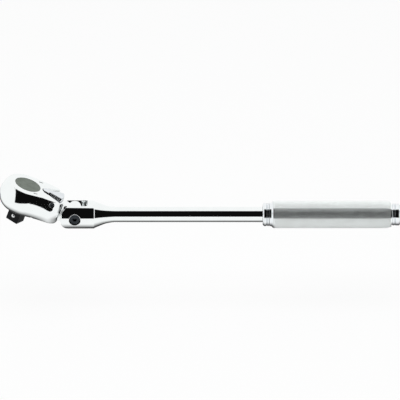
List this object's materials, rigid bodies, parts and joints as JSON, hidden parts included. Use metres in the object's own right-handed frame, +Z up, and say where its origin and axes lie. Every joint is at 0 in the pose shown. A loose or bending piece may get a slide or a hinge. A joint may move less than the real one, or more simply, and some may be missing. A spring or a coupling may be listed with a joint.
{
  "type": "ratchet wrench",
  "caption": "Flex-head ratchet wrench with a pear-shaped chrome head, square drive with ball detent, fan-shaped reversing lever, slim shank and knurled grip.",
  "frame": {"origin": "centre of the drive square's end face", "axes": "+X along the handle from the head to the butt, +Y the flex pivot's axis, +Z up with the handle level and the head tilted nose-up by 19.6 degrees"},
  "size_m": [0.2806, 0.0342, 0.038],
  "materials": {
    "polished_chrome": "mirror-polished nickel-chrome plate over forged steel",
    "lever_chrome": "polished chrome plate with ribbed thumb scoops",
    "ferrule_chrome": "turned and polished chrome plate",
    "knurled_satin": "satin plated, fine diamond knurl",
    "matte_disc": "fine-turned matte grey plate",
    "dark_phosphate": "oiled dark phosphate over hardened steel",
    "black_oxide": "black oxide, semi-matte",
    "satin_plate": "satin ground plate",
    "bright_steel": "polished bearing steel",
    "hardened_steel": "ground hardened steel",
    "spring_steel": "drawn spring wire",
    "seal_rubber": "matte black nitrile"
  },
  "bodies": {
    "handle": {"handle_bar": "polished_chrome", "pivot_screw": "black_oxide", "flex_washers": "spring_steel", "brake_plunger": "hardened_steel", "brake_spring": "spring_steel", "front_ferrule": "ferrule_chrome", "grip_sleeve": "knurled_satin", "butt_cap": "ferrule_chrome"},
    "head": {"head_housing": "polished_chrome", "cover_plate": "satin_plate", "cover_screws": "black_oxide", "thrust_washer": "spring_steel", "detent_plug": "black_oxide", "lever_ball_spring": "spring_steel"},
    "drive": {"drive_gear": "dark_phosphate", "spinner_disc": "matte_disc", "disc_seal": "seal_rubber", "drive_ball_spring": "spring_steel"},
    "drive_ball": {"drive_ball": "bright_steel"},
    "lever": {"reversing_lever": "lever_chrome", "lever_clip": "spring_steel"},
    "pawl": {"pawl": "hardened_steel", "pawl_spring": "spring_steel"},
    "lever_ball": {"lever_ball": "bright_steel"}
  },
  "joints": [
    {"name": "head_flex", "type": "hinge", "parent": "handle", "child": "head", "pos_m": [0.0424, 0, 0.00401], "axis": [0, 1, 0], "range_deg": [-109.6, 70.4]},
    {"name": "drive_spin", "type": "hinge", "parent": "head", "child": "drive", "pos_m": [0, 0, 0], "axis": [0.3355, 0, 0.9421], "continuous": true},
    {"name": "drive_ball_press", "type": "slide", "parent": "drive", "child": "drive_ball", "axis": [0.4852, 0.8572, -0.1728], "range_m": [0, 0.00075], "stiffness_N_per_m": 2000, "springref_m": -0.001, "deforming": ["drive_ball_spring"]},
    {"name": "lever_flip", "type": "hinge", "parent": "head", "child": "lever", "pos_m": [0.02249, 0, 0.02171], "axis": [0.3355, 0, 0.9421], "range_deg": [0, 14]},
    {"name": "pawl_rock", "type": "hinge", "parent": "head", "child": "pawl", "pos_m": [0.01913, 0, 0.01229], "axis": [0.3355, 0, 0.9421], "range_deg": [0, 14], "deforming": ["pawl_spring"]},
    {"name": "lever_ball_press", "type": "slide", "parent": "head", "child": "lever_ball", "axis": [0.3681, -0.9205, -0.1311], "range_m": [0, 0.0004], "stiffness_N_per_m": 1000, "springref_m": -0.001, "deforming": ["lever_ball_spring"]}
  ],
  "couplings": [
    {"joint": "pawl_rock", "follows": "lever_flip", "ratio": 1}
  ]
}
